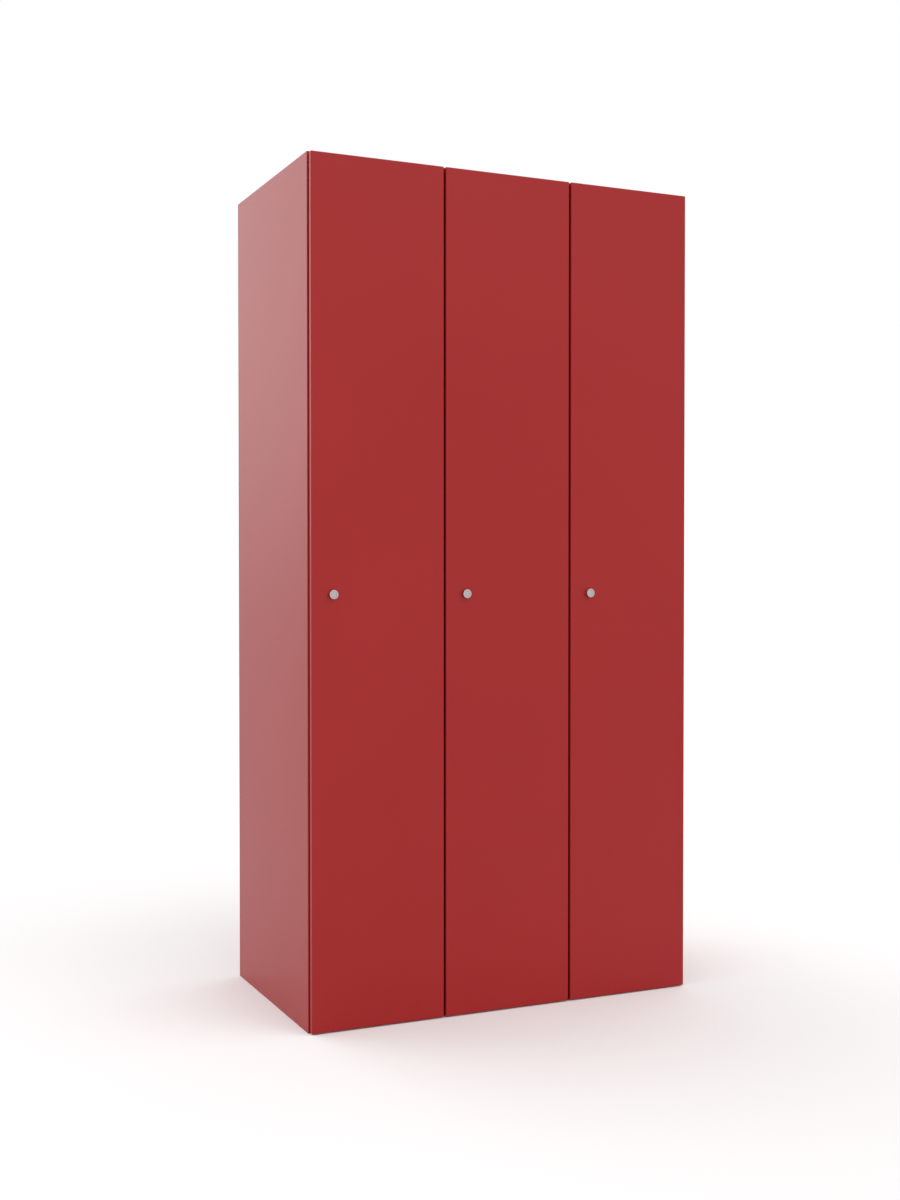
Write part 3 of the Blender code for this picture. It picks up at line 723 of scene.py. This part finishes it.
# cam lock: a round housing in the door, and a plug in it with a shallow keyway
lockHousing = {"face": 9.5 * mm, "barrel": 8 * mm, "bore": 6.3 * mm, "seam": 0.3 * mm, "sides": 64,
               "edge": 1.0 * mm, "edgeSteps": 6, "boreEdge": 0.12 * mm, "boreSteps": 3}


def makeLockHousings():
    low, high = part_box("lock_housing_1")
    axis = axisOf["lock_1_turn"]
    face, barrel, bore = lockHousing["face"], lockHousing["barrel"], lockHousing["bore"]
    seat = axis.y - lockHousing["seam"]
    housing = depthRod("lockHousing", axis, low.y, seat, face, lockHousing["sides"])
    startEdit(housing)
    pick(housing, "FACE", facing(toBack))
    bpy.ops.mesh.inset(thickness=face - barrel)
    pullFaces((0, high.y - seat, 0))
    bpy.ops.mesh.inset(thickness=barrel - bore)
    bpy.ops.mesh.delete(type="FACE")
    pick(housing, "FACE", facing(toFront))
    bpy.ops.mesh.inset(thickness=face - bore)
    bpy.ops.mesh.delete(type="FACE")
    pick(housing, "EDGE", isRim)
    bpy.ops.mesh.bridge_edge_loops()
    bevelEdges(housing, onRim(axis, face, low.y), lockHousing["edge"], lockHousing["edgeSteps"])
    bevelEdges(housing, onRim(axis, bore, low.y), lockHousing["boreEdge"], lockHousing["boreSteps"])
    turnOutwards()
    endEdit()
    spread(housing, "lockHousing", "lock_housing_{}", columns, nickelOf, "door_{}")


lockPlug = {"radius": 6 * mm, "sides": 64, "edge": 0.2 * mm, "edgeSteps": 4,
            "keywayWidth": 1.2 * mm, "keywayHeight": 6.5 * mm, "keywayDepth": 0.6 * mm,
            "tang": 7 * mm, "tangLength": 2 * mm, "screwHole": 2.1 * mm, "screwDepth": 8 * mm}


def makeLockPlugs():
    low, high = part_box("lock_plug_1")
    axis = axisOf["lock_1_turn"]
    rear = high.y - lockPlug["tangLength"]
    plug = depthRod("lockPlug", axis, low.y, rear, lockPlug["radius"], lockPlug["sides"])
    startEdit(plug)
    bevelEdges(plug, onRim(axis, lockPlug["radius"], low.y), lockPlug["edge"], lockPlug["edgeSteps"])
    endEdit()
    tang = depthBlock("tang", axis, rear - half, high.y, lockPlug["tang"], lockPlug["tang"])
    useTools(plug, "UNION", [tang])
    keyway = depthBlock("keyway", axis, low.y - half, low.y + lockPlug["keywayDepth"],
                        lockPlug["keywayWidth"], lockPlug["keywayHeight"])
    screwHole = depthRod("screwHole", axis, rear - lockPlug["screwDepth"], high.y + half,
                         lockPlug["screwHole"])
    useTools(plug, "DIFFERENCE", [keyway, screwHole])
    spread(plug, "lockPlug", "lock_plug_{}", columns, nickelOf, "lock_{}")


makeLockHousings()
makeLockPlugs()
print("locks made")

# lock nut, cam and screw behind the door, and the rubber stops on the frame
lockNut = {"sides": 6, "hole": 8.3 * mm, "holeSides": 64}


def makeLockNuts():
    low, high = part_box("lock_nut_1")
    axis = axisOf["lock_1_turn"]
    nut = depthRod("lockNut", axis, low.y, high.y, (high.x - low.x) / 2, lockNut["sides"])
    hole = depthRod("hole", axis, low.y - half, high.y + half, lockNut["hole"], lockNut["holeSides"])
    useTools(nut, "DIFFERENCE", [hole])
    spread(nut, "lockNut", "lock_nut_{}", columns, nickelOf, "door_{}")


lockCam = {"corner": 4 * mm, "cornerSteps": 8, "edge": 0.2 * mm, "hole": 7.6 * mm}


def makeLockCams():
    low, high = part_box("lock_cam_1")
    axis = axisOf["lock_1_turn"]
    cam = addBlock("lockCam", low, high)
    startEdit(cam)
    bevelEdges(cam, goesThrough, lockCam["corner"], lockCam["cornerSteps"])
    endEdit()
    softenEdges(cam, lockCam["edge"])
    hole = depthBlock("hole", axis, low.y - half, high.y + half, lockCam["hole"], lockCam["hole"])
    useTools(cam, "DIFFERENCE", [hole])
    spread(cam, "lockCam", "lock_cam_{}", columns, allZinc, "lock_{}")


camScrew = {"headRadius": 5.5 * mm, "head": 2 * mm, "edge": 0.7 * mm, "edgeSteps": 4, "shank": 1.8 * mm,
            "slot": (0.9 * mm, 6.5 * mm), "slotDepth": 1.0 * mm}


def makeCamScrews():
    low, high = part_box("cam_screw_1")
    axis, radius = axisOf["lock_1_turn"], camScrew["headRadius"]
    under = high.y - camScrew["head"]
    screw = depthRod("camScrew", axis, under, high.y, radius)
    startEdit(screw)
    bevelEdges(screw, onRim(axis, radius, high.y), camScrew["edge"], camScrew["edgeSteps"])
    pick(screw, "FACE", facing(toFront))
    bpy.ops.mesh.inset(thickness=radius - camScrew["shank"])
    pullFaces((0, low.y - under, 0))
    endEdit()
    narrow, wide = camScrew["slot"]              # the two arms of the cross recess
    slots = [depthBlock("slot", axis, high.y - camScrew["slotDepth"], high.y + half, width, height)
             for width, height in ((narrow, wide), (wide, narrow))]
    useTools(screw, "DIFFERENCE", slots)
    spread(screw, "camScrew", "cam_screw_{}", columns, allZinc, "lock_{}")


doorStop = {"sides": 40, "edge": 0.6 * mm, "edgeSteps": 5}


def makeDoorStops():
    low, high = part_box("door_buffer_lower_1")
    middle = (low + high) / 2
    radius = (high.x - low.x) / 2
    pad = depthRod("doorStop", middle, low.y, high.y, radius, doorStop["sides"])
    startEdit(pad)
    bevelEdges(pad, onRim(middle, radius, low.y), doorStop["edge"], doorStop["edgeSteps"])
    endEdit()
    spread(pad, "doorStop", "door_buffer_{}", columnEnds, allRubber, "cabinet")


makeLockNuts()
makeLockCams()
makeCamScrews()
makeDoorStops()
print("lock backs and door stops made")

# studio: pale floor and soft light from all round, with a wide key from the upper right of the front
studio = {"floorSize": 80, "floorSeen": (0.98, 0.98, 0.98, 1), "floorBounce": (0.80, 0.80, 0.80, 1),
          "fadeFrom": 0.45, "fadeTo": 3.0, "ambient": 0.88, "white": 1.0, "lampDistance": 5}
lamps = {"key": {"from": (0.45, -0.80, 0.95), "power": 0.52, "width": 50},
         "frontFill": {"from": (-0.30, -0.85, 0.35), "power": 0.14, "width": 70},
         "rearLeft": {"from": (-0.48, 0.74, 0.48), "power": 0.66, "width": 62}}


def addMath(tree, operation, first, second):
    step = tree.nodes.new("ShaderNodeMath")
    step.operation = operation
    tree.links.new(first, step.inputs[0])
    tree.links.new(second, step.inputs[1])
    return step.outputs["Value"]


def mixShaders(tree, amount, first, second):
    mix = tree.nodes.new("ShaderNodeMixShader")
    for socket, source in zip(mix.inputs, (amount, first, second)):
        tree.links.new(source, socket)
    return mix.outputs["Shader"]


def seenDirectly(tree):                          # rays from the camera, or mirrored or passed on to it
    path = tree.nodes.new("ShaderNodeLightPath")
    seen = path.outputs["Is Camera Ray"]
    for other in ("Is Glossy Ray", "Is Transmission Ray"):
        seen = addMath(tree, "MAXIMUM", seen, path.outputs[other])
    return seen


def addMatt(tree, colour):
    matt = tree.nodes.new("ShaderNodeBsdfDiffuse")
    matt.inputs["Color"].default_value = colour
    return matt.outputs["BSDF"]


def addFade(tree):                               # from 0 at the bank to 1 further off
    place = tree.nodes.new("ShaderNodeTexCoord")
    distance = tree.nodes.new("ShaderNodeVectorMath")
    distance.operation = "LENGTH"
    tree.links.new(place.outputs["Object"], distance.inputs[0])
    fade = tree.nodes.new("ShaderNodeMapRange")
    fade.interpolation_type = "SMOOTHSTEP"
    fade.inputs["From Min"].default_value = studio["fadeFrom"]
    fade.inputs["From Max"].default_value = studio["fadeTo"]
    tree.links.new(distance.outputs["Value"], fade.inputs["Value"])
    return fade.outputs["Result"]


def makeFloor():                                 # matt round the bank, white further off
    bpy.ops.object.select_all(action="DESELECT")
    bpy.ops.mesh.primitive_plane_add(size=studio["floorSize"], location=(0, 0, 0))
    floor = settle("floor")
    material = bpy.data.materials.new("paleFloor")
    material.use_nodes = True
    tree = material.node_tree
    tree.nodes.remove(tree.nodes["Principled BSDF"])
    seen = seenDirectly(tree)
    bounced, shown = addMatt(tree, studio["floorBounce"]), addMatt(tree, studio["floorSeen"])
    matt = mixShaders(tree, seen, bounced, shown)
    white = tree.nodes.new("ShaderNodeEmission")
    white.inputs["Strength"].default_value = studio["white"]
    whiteness = addMath(tree, "MULTIPLY", addFade(tree), seen)
    surface = mixShaders(tree, whiteness, matt, white.outputs["Emission"])
    tree.links.new(surface, tree.nodes["Material Output"].inputs["Surface"])
    floor.data.materials.append(material)


def makeWorld():                                 # white where it is seen, a little dimmer as a light
    world = bpy.data.worlds.new("paleStudio")
    bpy.context.scene.world = world
    world.use_nodes = True
    tree = world.node_tree
    light = tree.nodes["Background"]
    white = tree.nodes.new("ShaderNodeBackground")
    for sky, strength in ((light, studio["ambient"]), (white, studio["white"])):
        sky.inputs["Color"].default_value = (1, 1, 1, 1)
        sky.inputs["Strength"].default_value = strength
    surface = mixShaders(tree, seenDirectly(tree), light.outputs["Background"],
                         white.outputs["Background"])
    tree.links.new(surface, tree.nodes["World Output"].inputs["Surface"])


def makeLamps():
    for name, lamp in lamps.items():
        light = bpy.data.lights.new(name, "SUN")
        light.energy = lamp["power"]
        light.angle = math.radians(lamp["width"])
        holder = bpy.data.objects.new(name, light)
        bpy.context.scene.collection.objects.link(holder)
        holder.location = Vector(lamp["from"]) * studio["lampDistance"]
        holder.rotation_euler = Vector(lamp["from"]).to_track_quat("Z", "Y").to_euler()


# the camera's place in metres, its lens and sensor in millimetres and its turns in degrees
camera = {"at": (-1.4527, -3.1366, 0.9436), "lens": 45.038, "sensor": 36,
          "down": 1.0227, "aside": -24.4626}


def makeCamera():
    lens = bpy.data.cameras.new("camera")
    lens.lens = camera["lens"]
    lens.sensor_width = camera["sensor"]
    holder = bpy.data.objects.new("camera", lens)
    bpy.context.scene.collection.objects.link(holder)
    holder.location = camera["at"]
    holder.rotation_euler = (math.radians(90 - camera["down"]), 0, math.radians(camera["aside"]))
    bpy.context.scene.camera = holder


makeFloor()
makeWorld()
makeLamps()
makeCamera()
bpy.context.scene.view_settings.view_transform = "Standard"
print("studio set")
